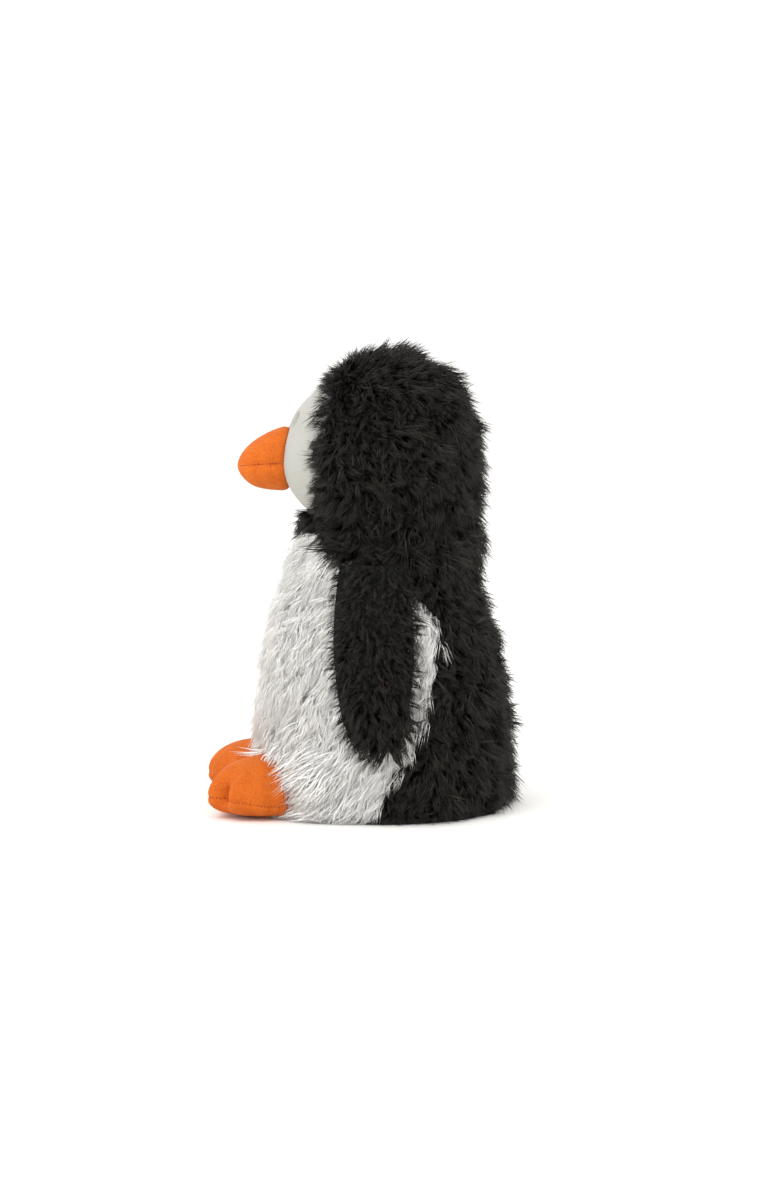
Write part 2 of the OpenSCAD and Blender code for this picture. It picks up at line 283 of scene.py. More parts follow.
body_core = closed_tube(
    "body_cover", body_rows, Vector((0, 0, 3.2 * MM)), Vector((0, 0, BODY_TOP)),
    [white_backing.material, black_backing.material])
for face in body_core.data.polygons:
    c = face.center
    angle = abs(math.degrees(math.atan2(c.x, -c.y)))
    face.material_index = 0 if angle < belly_edge(c.z) and c.z > 4 * MM else 1
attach(body_core, "torso")
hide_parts("belly_panel", "back_left_panel", "back_right_panel",
            "body_stuffing", "pellet_bag", "pellets")

# The base is a flat oval of plain black cloth, sewn in under the body.
base_cloth = Finish("base_cloth", Roughness=0.85)
weave = base_cloth.node("ShaderNodeTexWave", None, {
    "Vector": base_cloth.node("ShaderNodeTexCoord", out="Object"), "Scale": 400.0, "Distortion": 1.5})
base_cloth.set(
    Base_Color=base_cloth.mix(base_cloth.noise(260), (0.004, 0.004, 0.005, 1), (0.012, 0.011, 0.012, 1)),
    Normal=base_cloth.bump(weave, 0.4, 0.2 * MM))
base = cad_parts["base_panel"]
base.data.materials.clear()
base.data.materials.append(base_cloth.material)


# ---------- Long pile ----------
# The long pile is fibre that stands on a knitted backing and gathers into small pointed locks.
# A few locks are modelled, and laid over each panel: they lean the way the pile is combed.

def lock(name, seed, hairs, length, spread, gather, lean, width):
    """One lock of pile: tapered hairs that lean towards +X, with their tips gathered."""
    draw = np.random.default_rng(seed)
    points, faces, along, tones = [], [], [], []
    tip_y = draw.uniform(-1, 1) * spread * 0.5
    for _ in range(hairs):
        angle, r = draw.uniform(0, 2 * math.pi), spread * math.sqrt(draw.uniform())
        root = Vector((r * math.cos(angle), r * math.sin(angle), -0.7 * MM))
        long = length * draw.uniform(0.72, 1.12)
        low, high = (math.radians(a + draw.uniform(-9, 9)) for a in lean)
        sway = draw.uniform(-0.3, 0.3)
        middle = root + long * 0.5 * Vector((math.sin(low), math.sin(low) * sway, math.cos(low)))
        tip = middle + long * 0.55 * Vector((math.sin(high), math.sin(high) * sway, math.cos(high)))
        tip.y += (tip_y - tip.y) * gather
        middle.y += (tip_y - middle.y) * gather * 0.35
        a, tone = len(points), draw.uniform()
        for place, r, t in ((root, width, 0.0), (middle, width * 0.82, 0.5)):
            for k in range(3):
                turn = k * math.tau / 3 + 0.5
                points.append(place + r * Vector(
                    (0.35 * math.cos(turn), math.sin(turn), math.cos(turn) * 0.9)))
                along.append(t)
        points.append(tip)
        along.append(1.0)
        b, end = a + 3, a + 6
        faces += [(a, a + 1, b + 1, b), (a + 1, a + 2, b + 2, b + 1), (a + 2, a, b, b + 2)]
        faces += [(b, b + 1, end), (b + 1, b + 2, end), (b + 2, b, end), (a + 2, a + 1, a)]
        tones += [tone] * 7
    made = mesh_object(name, points, faces)
    layer = made.data.uv_layers.new(name="pile")
    for corner in made.data.loops:
        layer.data[corner.index].uv = (tones[corner.vertex_index], along[corner.vertex_index])
    return made


def lock_set(name, seed, **sizes):
    kept = bpy.data.collections.new(name)
    for i in range(5):
        made = lock(f"{name}_{i}", seed + i, **sizes)
        scene.collection.objects.unlink(made)
        kept.objects.link(made)
    return kept


black_locks = lock_set("black_lock", 11, hairs=8, length=15 * MM, spread=1.8 * MM,
                       gather=0.6, lean=(22, 62), width=0.3 * MM)
white_locks = lock_set("white_lock", 31, hairs=8, length=19 * MM, spread=1.9 * MM,
                       gather=0.5, lean=(44, 82), width=0.28 * MM)


def new_tree(name, inputs):
    """A Geometry Nodes tree, the sockets of its inputs, and a function that adds a node to it."""
    tree = bpy.data.node_groups.new(name, "GeometryNodeTree")
    for title, kind in inputs:
        tree.interface.new_socket(title, in_out="INPUT", socket_type="NodeSocket" + kind)
    tree.interface.new_socket("Made", in_out="OUTPUT", socket_type="NodeSocketGeometry")

    def add(kind, settings=None, values=None):
        made = tree.nodes.new(kind)
        for title, setting in (settings or {}).items():
            setattr(made, title, setting)
        for title, value in (values or {}).items():
            if isinstance(value, bpy.types.NodeSocket):
                tree.links.new(value, made.inputs[title])
            else:
                made.inputs[title].default_value = value
        return made.outputs

    return tree, add("NodeGroupInput"), add


def end_tree(tree, given, add, laid):
    """Ends a tree: what was laid becomes real mesh and takes its finish."""
    whole = add("GeometryNodeRealizeInstances", None, {"Geometry": laid})
    coated = add("GeometryNodeSetMaterial", None,
                 {"Geometry": whole[0], "Material": given["Finish"]})
    add("NodeGroupOutput", None, {0: coated[0]})
    return tree


def pile_tree():
    """Geometry Nodes that lay locks over a panel along its "comb" attribute."""
    tree, given, add = new_tree("lay_pile", (
        ("Panel", "Geometry"), ("Locks", "Collection"), ("Spacing", "Float"), ("Seed", "Int"),
        ("Stray", "Float"), ("Shortest", "Float"), ("Longest", "Float"), ("Finish", "Material")))

    def attribute(name, kind):
        return add("GeometryNodeInputNamedAttribute", {"data_type": kind}, {"Name": name})["Attribute"]

    def vector_sum(a, b):
        return add("ShaderNodeVectorMath", {"operation": "ADD"}, {0: a, 1: b})["Vector"]

    def stray(share, seed):
        low, high = (-share,) * 3, (share,) * 3
        shake = add("FunctionNodeRandomValue", {"data_type": "FLOAT_VECTOR"},
                    {"Min": low, "Max": high, "Seed": seed})["Value"]
        return add("ShaderNodeVectorMath", {"operation": "SCALE"},
                   {0: shake, "Scale": given["Stray"]})["Vector"]

    spread = add("GeometryNodeDistributePointsOnFaces", {"distribute_method": "POISSON"}, {
        "Mesh": given["Panel"], "Distance Min": given["Spacing"], "Density Max": 4e6,
        "Density Factor": attribute("thick", "FLOAT"), "Seed": given["Seed"]})
    upright = add("FunctionNodeAlignRotationToVector", {"axis": "Z"},
                  {"Vector": vector_sum(spread["Normal"], stray(0.3, 5))})["Rotation"]
    combed = add("FunctionNodeAlignRotationToVector", {"axis": "X", "pivot_axis": "Z"},
                 {"Rotation": upright,
                  "Vector": vector_sum(attribute("comb", "FLOAT_VECTOR"), stray(0.8, 6))})["Rotation"]
    size = add("FunctionNodeRandomValue", {"data_type": "FLOAT"},
               {2: given["Shortest"], 3: given["Longest"], "Seed": 7})[1]
    size = add("ShaderNodeMath", {"operation": "MULTIPLY"},
               {0: size, 1: attribute("long", "FLOAT")})["Value"]
    which = add("FunctionNodeRandomValue", {"data_type": "INT"}, {4: 0, 5: 4, "Seed": 8})[2]
    locks = add("GeometryNodeCollectionInfo", None, {
        "Collection": given["Locks"], "Separate Children": True, "Reset Children": True})
    laid = add("GeometryNodeInstanceOnPoints", None, {
        "Points": spread["Points"], "Instance": locks[0], "Pick Instance": True,
        "Instance Index": which, "Rotation": combed, "Scale": size})
    tone = add("FunctionNodeRandomValue", {"data_type": "FLOAT"}, {2: 0.0, 3: 1.0, "Seed": 9})[1]
    toned = add("GeometryNodeStoreNamedAttribute", {"data_type": "FLOAT", "domain": "INSTANCE"},
                {"Geometry": laid[0], "Name": "tone", "Value": tone})
    return end_tree(tree, given, add, toned[0])


def grown(name, stem, tree, inputs):
    """What a node tree makes of an object, as a plain mesh. The object is removed."""
    modifier = stem.modifiers.new("grown", "NODES")
    modifier.node_group = tree
    sockets = {item.name: item.identifier for item in tree.interface.items_tree}
    for title, value in inputs.items():
        modifier[sockets[title]] = value
    mesh = bpy.data.meshes.new_from_object(
        stem.evaluated_get(bpy.context.evaluated_depsgraph_get()))
    bpy.data.objects.remove(stem)
    mesh.name = name
    mesh.polygons.foreach_set("use_smooth", [True] * len(mesh.polygons))
    made = bpy.data.objects.new(name, mesh)
    scene.collection.objects.link(made)
    return made


lay_pile = pile_tree()


def pile(name, panel, **inputs):
    """Pile laid over a panel. What would reach below the base lies splayed on it."""
    made = grown(name, panel, lay_pile, inputs)
    mesh = made.data
    lying = np.empty(len(mesh.vertices) * 3)
    mesh.vertices.foreach_get("co", lying)
    lying = lying.reshape(-1, 3)
    low = lying[:, 2] < 0.8 * MM
    lying[low, 2] = 0.3 * MM + 0.5 * MM * np.modf(np.abs(lying[low, 0]) * 9173)[0]
    mesh.vertices.foreach_set("co", lying.ravel())
    mesh.update()
    return made


def swirl(point, size, seed):
    """Slow random change from place to place, from -1 to 1."""
    return noise.noise(Vector(point) / size + Vector((seed * 7.1, seed * 3.3, seed)))


def panel(name, points, faces, combs, longs):
    """A patch of backing with the attributes that the pile is laid by."""
    mesh = mesh_object(name, points, faces)
    for title, kind, field, values in (
        ("comb", "FLOAT_VECTOR", "vector", [c for comb in combs for c in comb]),
        ("thick", "FLOAT", "value", [1.0] * len(points)), ("long", "FLOAT", "value", longs),
    ):
        mesh.data.attributes.new(title, kind, "POINT").data.foreach_set(field, values)
    return mesh


def pile_finish(name, root, tip, glint, roughness, gloss):
    """Fibre that is darker at its root, with a painted highlight: the tips of randomly picked locks are
    mixed towards a lighter glint colour.
    """
    finish = Finish(name, Roughness=roughness, Specular_IOR_Level=gloss)
    uv = finish.node("ShaderNodeUVMap", {"uv_map": "pile"})
    across = finish.node("ShaderNodeSeparateXYZ", None, {0: uv}, "X")
    along = finish.node("ShaderNodeSeparateXYZ", None, {0: uv}, "Y")
    tone = finish.node("ShaderNodeAttribute", {"attribute_name": "tone"}, None, "Fac")
    colour = finish.mix(along, root, tip)
    # Painted highlight: this lock's random share of the glint colour, which grows towards the tip
    light = (across * 0.5 + tone * 0.5) ** 2
    return finish.set(Base_Color=finish.mix(light * along, colour, glint))


# The last colour of each pile is its painted glint, a highlight painted into the tips
black_pile = pile_finish("black_pile", (0.0015, 0.0012, 0.001, 1), (0.0065, 0.0052, 0.004, 1),
                         (0.075, 0.064, 0.052, 1), 0.5, 0.26)
white_pile = pile_finish("white_pile", (0.965, 0.955, 0.925, 1), (0.985, 0.98, 0.96, 1),
                         (0.995, 0.995, 0.99, 1), 0.6, 0.4)


def body_panel(side, black):
    """Backing of the belly's or the back's half on one side."""
    points = [p for row in body_rows for p in row]
    combs, longs, faces = [], [], []
    for p in points:
        out = Vector((p.x, p.y, 0)).normalized()
        across = Vector((-out.y, out.x, 0))
        turn = swirl(p, 0.016, 1 if black else 2) * (2.2 if black else 0.35)
        turn += swirl(p, 0.07, 3) * (0.8 if black else 0.3)
        forward = 0 if black else 0.5 * abs(out.x)
        shoulder = math.exp(-((p.z - 161 * MM) / (9 * MM)) ** 2) * ease(abs(out.x), 0.45, 0.8)
        skirt = 0
        if not black:
            skirt = ease(p.z, 58 * MM, 34 * MM) * ease(out.x ** 2, 0.02, 0.2) * ease(-out.y, 0.2, 0.6)
            skirt += 0.18 * math.exp(-((p.z - 118 * MM) / (18 * MM)) ** 2)
        combs.append((Vector((0, -forward - 0.55 * skirt, -1)) + across * turn).normalized())
        longs.append((1 + 0.5 * shoulder + 0.65 * skirt)
                     * (1 + swirl(p, 0.012, 8) * (0.5 if black else 0.2)))
    for face in tube_faces(len(body_rows), len(body_angles)):
        c = sum((points[i] for i in face), Vector()) / 4
        angle = math.degrees(math.atan2(c.x, -c.y))
        edge = belly_edge(c.z) + 1.5 * swirl(c, 0.01, 4)
        if (abs(angle) >= edge) == black and (angle >= 0) == (side > 0):
            faces.append(face)
    return panel("patch", points, faces, combs, longs)


SIDES = ((1, "left"), (-1, "right"))
for side, title in SIDES:
    for colour, black, locks, coat, spacing, stray, shortest, longest in (
        ("belly", False, white_locks, white_pile, 2.27 * MM, 0.7, 0.8, 1.2),
        ("back", True, black_locks, black_pile, 2.02 * MM, 1.0, 0.6, 1.3),
    ):
        fur = pile(
            f"{colour}_{title}_pile", body_panel(side, black), Locks=locks, Spacing=spacing,
            Seed=20 + side, Stray=stray, Shortest=shortest, Longest=longest, Finish=coat)
        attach(fur, "torso")


# ---------- Head ----------
# The head is a second stuffed bag of the black pile cloth, sewn to the body at the neck. An open
# oval in its front is left for the face.

HEAD_Z = 214 * MM
HEAD_Y = -1.5 * MM
HEAD_HALF_W, HEAD_HALF_D = 61 * MM, 61.5 * MM
CROWN_H, CHIN_H = 70 * MM, 60 * MM
HEAD_BACK = 4 * MM           # how much the crown and the chin lie further back than the middle
HEAD_LOW = -28               # rise at which the head ends above the body, in degrees
NAPE_FULL = 0.7              # 1 would make the back of the head's lower half straight
FACE_MIDDLE, FACE_HALF_W, FACE_HALF_H = 7.5, 45.5, 46.0
FACE_ROUND = 2.6             # 2 would make the face's outline an oval, more makes it squarer


def on_head(angle, rise, depth=0.0):
    """Point of the head's outside, by its angle from the front and its rise, moved in by a depth."""
    up, flat = math.sin(math.radians(rise)), math.cos(math.radians(rise))
    out = ring(angle)
    if rise < 0:
        flat **= 1 - NAPE_FULL * ease(out.y, 0, 0.8)
    return Vector((
        (HEAD_HALF_W - depth) * flat * out.x,
        HEAD_Y + HEAD_BACK * up * up + (HEAD_HALF_D - depth) * flat * out.y,
        HEAD_Z + ((CROWN_H if up > 0 else CHIN_H) - depth) * up,
    ))


def face_share(angle, rise):
    """0 at the middle of the face, 1 on its seam."""
    across = abs(angle / FACE_HALF_W) ** FACE_ROUND
    up = abs((rise - FACE_MIDDLE) / FACE_HALF_H) ** FACE_ROUND
    return (across + up) ** (1 / FACE_ROUND)


head_rises = [HEAD_LOW + 3 * i for i in range(40)]
head_angles = [a * 4.0 for a in range(90)]
head_rows = [[on_head(a, rise, PILE_T) for a in head_angles] for rise in head_rises]
head_core = closed_tube("head_cover", head_rows, Vector((0, 0, 184 * MM)), on_head(0, 90, PILE_T),
                        [black_backing.material])
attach(head_core, "head")
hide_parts("head_left_panel", "head_right_panel", "head_stuffing")


def head_panel(side):
    """Backing of one half of the head, from just inside the face's seam."""
    points, combs, longs, faces = [], [], [], []
    middle = Vector((0, 0, HEAD_Z))
    for row, rise in zip(head_rows + [[on_head(0, 90, PILE_T)]], head_rises + [90]):
        for p, angle in zip(row, head_angles):
            angle = angle if angle <= 180 else angle - 360
            out = (p - middle).normalized()
            down = Vector((0, 0.7, -1))
            share = face_share(angle, rise)
            down += (1 - ease(share, 1.0, 1.4)) * Vector((0, -1.1, 0.4))
            across = out.cross(Vector((0, 0, 1)))
            turn = swirl(p, 0.02, 5) * 1.8 + swirl(p, 0.06, 6) * 1.0
            comb = down + across * turn + Vector((0, 0, swirl(p, 0.03, 7) * 1.2))
            points.append(p)
            combs.append((comb - out * comb.dot(out)).normalized())
            edge = 0.72 + 0.28 * ease(share, 0.95, 1.3)
            longs.append(edge * (1 + swirl(p, 0.012, 9) * 0.5))
    columns = len(head_angles)
    top = (len(head_rows) - 1) * columns
    every = tube_faces(len(head_rows), columns)
    every += [(top + columns, top + j, top + (j + 1) % columns) for j in range(columns)]
    for face in every:
        rises = [head_rises[i // columns] if i < top + columns else 90 for i in face]
        c = sum((points[i] for i in face), Vector()) / len(face)
        angle = math.degrees(math.atan2(c.x / HEAD_HALF_W, (HEAD_Y - c.y) / HEAD_HALF_D))
        if face_share(angle, sum(rises) / len(rises)) > 0.9 and (angle >= 0) == (side > 0):
            faces.append(face)
    return panel("patch", points, faces, combs, longs)


for side, title in SIDES:
    fur = pile(f"head_{title}_pile", head_panel(side), Locks=black_locks, Spacing=1.85 * MM,
               Seed=40 + side, Stray=1.1, Shortest=0.6, Longest=1.3, Finish=black_pile)
    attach(fur, "head")


# ---------- Neck ----------
# Body and head are one skin: a narrow waist of the same backing joins them. Its black pile
# hides the seam, and stands forward under the chin like a collar.

NECK_LOW, NECK_HIGH = 166 * MM, 193 * MM
NECK_WAIST = 0.5 * MM

NECK_DEPTH = PILE_T + 0.6 * MM
neck_low = [reach(body_solid, Vector((0, 0, NECK_LOW)), ring(a), NECK_DEPTH) for a in head_angles]
neck_rise = math.degrees(math.asin((NECK_HIGH - HEAD_Z) / CHIN_H))
neck_high = [on_head(a, neck_rise, NECK_DEPTH) for a in head_angles]
neck_rows = []
for i in range(10):
    t = i / 9
    row = []
    for a, low, high in zip(head_angles, neck_low, neck_high):
        p = low.lerp(high, t)
        row.append(p - ring(a) * NECK_WAIST * math.sin(math.pi * t))
    neck_rows.append(row)
neck_core = closed_tube("neck_cover", neck_rows, Vector((0, 0, NECK_LOW)), Vector((0, 0, NECK_HIGH)),
                        [black_backing.material])

points, combs, longs = [], [], []
for row in neck_rows[1:8]:
    for a, p in zip(head_angles, row):
        front = ease(math.cos(math.radians(a)), 0.35, 0.85)
        across = Vector((-ring(a).y, ring(a).x, 0))
        turn = swirl(p, 0.02, 10) * 1.5
        points.append(p)
        combs.append((Vector((0, 0, -1 + 0.7 * front)) + across * turn).normalized())
        longs.append((1.1 - 0.25 * front) * (1 + swirl(p, 0.012, 11) * 0.5))
around = len(head_angles)
faces = [f for f in tube_faces(7, around)
         if f[0] // around < 4 or math.cos(math.radians(head_angles[f[0] % around])) < 0.5]
collar = pile("neck_pile", panel("patch", points, faces, combs, longs),
              Locks=black_locks, Spacing=2.0 * MM, Seed=61, Stray=1.0, Shortest=0.65, Longest=1.2,
              Finish=black_pile)
for piece in (neck_core, collar):
    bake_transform(piece)


# ---------- Face ----------
# The face is one piece of smooth, short white plush, sewn into the head's opening. It is stuffed
# a little, so that it bulges between its seam, and a thread pulls a dimple behind each eye.

FACE_SINK = 0.8 * MM         # how far the face's middle lies behind the long pile's own surface
FACE_SEAM_SINK = 9 * MM
CHEEK = 4 * MM               # how far the cheeks stand out on both sides of the beak
EYE_ANGLE, EYE_RISE = 10.7, 22.7
DIMPLE, DIMPLE_R = 4.6 * MM, 6.4 * MM


def face_depth(angle, rise, share):
    depth = FACE_SINK + (FACE_SEAM_SINK - FACE_SINK) * (0.55 * ease(share, 0.3, 1.0)
                                                        + 0.45 * ease(share, 0.8, 1.0))
    cheek = math.exp(-((rise + 1) / 20) ** 2) * (1 - math.exp(-(angle / 13) ** 2))
    return depth - CHEEK * cheek * (1 - ease(share, 0.45, 1.0))


def on_face(share, turn):
    """Point of the face, by its share of the way to the seam and its direction from the middle."""
    c, s = math.cos(turn), math.sin(turn)
    angle = share * FACE_HALF_W * math.copysign(abs(c) ** (2 / FACE_ROUND), c)
    rise = FACE_MIDDLE + share * FACE_HALF_H * math.copysign(abs(s) ** (2 / FACE_ROUND), s)
    depth = face_depth(angle, rise, share)
    place = on_head(angle, rise, depth)
    for side in (1, -1):
        away = (place - on_head(side * EYE_ANGLE, EYE_RISE, depth)).length
        depth += DIMPLE * (1 - ease(away, 3.9 * MM, DIMPLE_R))
    depth += 0.35 * MM * swirl(place, 0.014, 12)
    return on_head(angle, rise, depth), angle, rise


FACE_TURNS = [math.radians(3 * i) for i in range(120)]
face_rows = [[on_head(*on_face(share, t)[1:], FACE_SEAM_SINK) for t in FACE_TURNS]
             for share in (0.02, 0.4, 0.8, 1.0)]
face_rows += [[on_face(1.06 - 0.015 * k, t)[0] for t in FACE_TURNS] for k in range(70)]
face = closed_tube("face", face_rows, on_head(0, FACE_MIDDLE, FACE_SEAM_SINK), on_face(0, 0)[0], [])

plush = Finish("short_white_plush", Roughness=0.85, Sheen_Weight=0.12, Sheen_Roughness=0.5,
               Specular_IOR_Level=0.2)
nap = plush.noise(1500, 3)
lie = plush.noise(90, 2)
plush.set(
    Base_Color=plush.mix(
        lie * 0.7 + nap * 0.3, (0.37, 0.366, 0.335, 1), (0.48, 0.476, 0.44, 1)),
    Normal=plush.bump(nap, 0.5, 0.5 * MM, plush.bump(lie, 0.3, 1.5 * MM)))
face.data.materials.append(plush.material)
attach(face, "head")
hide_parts("face_panel")


# ---------- Eyes ----------
# Each eye is a small black plastic dome, with a shank through the face and a washer behind it.

eye_plastic = Finish("eye_plastic", Coat_Weight=0.6, Coat_Roughness=0.05)
speck = eye_plastic.noise(600, 2)
eye_plastic.set(
    Base_Color=eye_plastic.mix(speck, (0.004, 0.003, 0.003, 1), (0.008, 0.007, 0.007, 1)),
    Roughness=speck * 0.08 + 0.08)
washer_plastic = Finish("washer_plastic", Roughness=0.5)
washer_plastic.set(Base_Color=washer_plastic.mix(
    washer_plastic.noise(300), (0.82, 0.82, 0.81, 1), (0.9, 0.9, 0.89, 1)))
for side, title in SIDES:
    for node, finish in ((f"{title}_eye", eye_plastic), (f"{title}_eye_washer", washer_plastic)):
        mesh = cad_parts[node].data
        mesh.materials.clear()
        mesh.materials.append(finish.material)


# ---------- Beak ----------
# The beak is a stuffed cone of orange velour, sewn from an upper and a lower half with a seam
# along each side, and sewn to the face round its root.

BEAK_Z = 212 * MM
BEAK_L, BEAK_HALF_W = 28 * MM, 19 * MM
BEAK_UPPER, BEAK_LOWER = 24.5 * MM, 15.5 * MM
SEAM_DEPTH, SEAM_HALF = 1.3 * MM, 6.0      # depth of a sewn groove, half its width in degrees


def beak_y(x, z):
    """Y of the face's own front at the beak's root."""
    rise = (z - HEAD_Z) / (CROWN_H if z > HEAD_Z else CHIN_H)
    flat = math.sqrt(max(0, 1 - (x / HEAD_HALF_W) ** 2 - rise ** 2))
    cheek = CHEEK * 0.8 * (x / BEAK_HALF_W) ** 2
    return HEAD_Y + HEAD_BACK * rise ** 2 - HEAD_HALF_D * flat - cheek


def on_beak(s, angle):
    """Point of the beak: s from 0 at the face to 1 at the tip, and the angle round it."""
    a = math.radians(angle)
    c, up = math.cos(a), math.sin(a)
    t = max(0.0, s)
    half_w = BEAK_HALF_W * (1 - t ** 2.2) ** 0.55
    half_h = BEAK_UPPER * (1 - t ** 1.45) ** 0.56 if up > 0 else BEAK_LOWER * (1 - t ** 3) ** 0.6
    seam = math.exp(-(min(abs(angle % 180), 180 - abs(angle % 180)) / SEAM_HALF) ** 2)
    pull = SEAM_DEPTH * seam * (1 + 0.35 * math.sin(s * 75)) * (1 - t ** 6)
    pull += 0.9 * MM * math.exp(-(t / 0.05) ** 2) + 40 * MM * max(0, -s)
    x, z = (half_w - pull) * c, (half_h - pull) * up
    z += 2.6 * MM * (1 - t ** 2) * (1 - abs(up))
    root_x, root_z = BEAK_HALF_W * c, BEAK_Z + (BEAK_UPPER if up > 0 else BEAK_LOWER) * up
    y = beak_y(root_x, root_z) * (1 - t) + (HEAD_Y - HEAD_HALF_D - BEAK_L) * t - BEAK_L * (s - t)
    place = Vector((x, y, BEAK_Z + z))
    bulge = 0.35 * MM * swirl(place, 0.012, 13) * (1 - t ** 4)
    return place + Vector((c, 0, up)) * bulge


BEAK_ANGLES = [5.0 * i for i in range(72)]
beak_places = [-0.12, -0.06, -0.02] + [1 - (1 - i / 36) ** 1.5 for i in range(36)] + [0.998]
beak_rows = [[on_beak(s, a) for a in BEAK_ANGLES] for s in beak_places]
beak = closed_tube("beak", beak_rows, Vector((0, -55 * MM, BEAK_Z)), on_beak(1, 0), [])

velour = Finish("orange_velour", Roughness=0.8, Sheen_Weight=0.12, Sheen_Roughness=0.4,
                Sheen_Tint=(1.0, 0.55, 0.25, 1), Specular_IOR_Level=0.2)
nap = velour.noise(900, 4)
lie = velour.noise(110, 3)
velour.set(
    Base_Color=velour.mix((lie * 0.5 + nap * 0.9) * 1.3 - 0.4, (0.44, 0.068, 0.004, 1),
                          (0.72, 0.172, 0.016, 1)),
    Normal=velour.bump(nap, 0.9, 0.7 * MM, velour.bump(lie, 0.35, 1.2 * MM)))
beak.data.materials.append(velour.material)
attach(beak, "head")
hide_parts("beak_upper", "beak_lower", "beak_stuffing")


def stitch_tree():
    """Geometry Nodes that lay short slanted stitches of thread along an edge path."""
    tree, given, add = new_tree("lay_stitches", (
        ("Path", "Geometry"), ("Pitch", "Float"), ("Length", "Float"),
        ("Thread", "Float"), ("Slant", "Float"), ("Finish", "Material")))
    curve = add("GeometryNodeMeshToCurve", None, {"Mesh": given["Path"]})
    dots = add("GeometryNodeCurveToPoints", {"mode": "LENGTH"},
               {"Curve": curve[0], "Length": given["Pitch"]})
    slanted = add("FunctionNodeAxisAngleToRotation", None,
                  {"Axis": (0, 1, 0), "Angle": given["Slant"]})[0]
    lying = add("FunctionNodeAlignRotationToVector", {"axis": "Z"},
                {"Vector": dots["Tangent"]})["Rotation"]
    lying = add("FunctionNodeRotateRotation", {"rotation_space": "LOCAL"},
                {"Rotation": lying, "Rotate By": slanted})[0]
    bead = add("GeometryNodeMeshIcoSphere", None, {"Radius": 1.0, "Subdivisions": 2})
    width = add("ShaderNodeCombineXYZ", None,
                {0: given["Thread"], 1: given["Thread"], 2: given["Length"]})[0]
    laid = add("GeometryNodeInstanceOnPoints", None, {
        "Points": dots["Points"], "Instance": bead[0], "Rotation": lying, "Scale": width})
    return end_tree(tree, given, add, laid[0])


lay_stitches = stitch_tree()
thread = Finish("orange_thread", Roughness=0.6)
thread.set(Base_Color=thread.mix(
    thread.noise(2500), (0.22, 0.026, 0.001, 1), (0.36, 0.05, 0.003, 1)))


def stitches(name, paths, body, finish):
    """A row of stitches along each path, riding on a body."""
    points, edges = [], []
    for path in paths:
        edges += [(len(points) + i, len(points) + i + 1) for i in range(len(path) - 1)]
        points += path
    mesh = bpy.data.meshes.new(name)
    mesh.from_pydata([tuple(p) for p in points], edges, [])
    stem = bpy.data.objects.new(name, mesh)
    scene.collection.objects.link(stem)
    row = grown(name, stem, lay_stitches, {
        "Pitch": 2.3 * MM, "Length": 0.85 * MM, "Thread": 0.3 * MM, "Slant": 0.35, "Finish": finish})
    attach(row, body)
    return row


beak_paths = [[on_beak(0.02 + 0.9 * i / 30, a) + Vector((side * 0.08 * MM, 0, 0)) for i in range(31)]
              for side, a in ((1, 0), (-1, 180))]
stitches("beak_stitches", beak_paths, "head", thread.material)


# ---------- Flippers ----------
# A flipper is a flat bag of the black pile cloth with a little stuffing, sewn to the shoulder
# along its top edge, so it hangs against the body and lifts sideways.

SHOULDER_Z = 158 * MM
FLIPPER_L, FLIPPER_HALF_W, FLIPPER_Y = 114 * MM, 30 * MM, -10.5 * MM
CORE_EDGE = 0.8              # share of the flipper's width that the cloth itself takes
FLIPPER_PILE = 6.5 * MM
RAY_OUTSIDE = 0.2            # rays at a flipper start well outside it, or from inside the body
RAY_INSIDE = 0.02

flipper_down = [0.02, 0.05] + [0.1 + 0.06 * i for i in range(14)] + [0.91, 0.94, 0.96]
flipper_across = [math.sin(math.radians(a)) for a in range(-90, 91, 12)]


def flipper_width(v):
    return FLIPPER_HALF_W * between(v, [0, 0.12, 0.25, 0.4, 0.5, 0.65, 0.8, 0.9, 0.96, 1],
                                    [0.80, 0.89, 0.97, 1.0, 1.0, 0.93, 0.82, 0.65, 0.52, 0.38])


def flipper_x(solid, side, y, z, start):
    """Distance from the toy's middle to the flipper's face that a ray from a start meets first."""
    heading = -side if start == RAY_OUTSIDE else side
    hit = solid.ray_cast(Vector((side * start, y, z)), Vector((heading, 0, 0)))[0]
    return abs(hit.x)


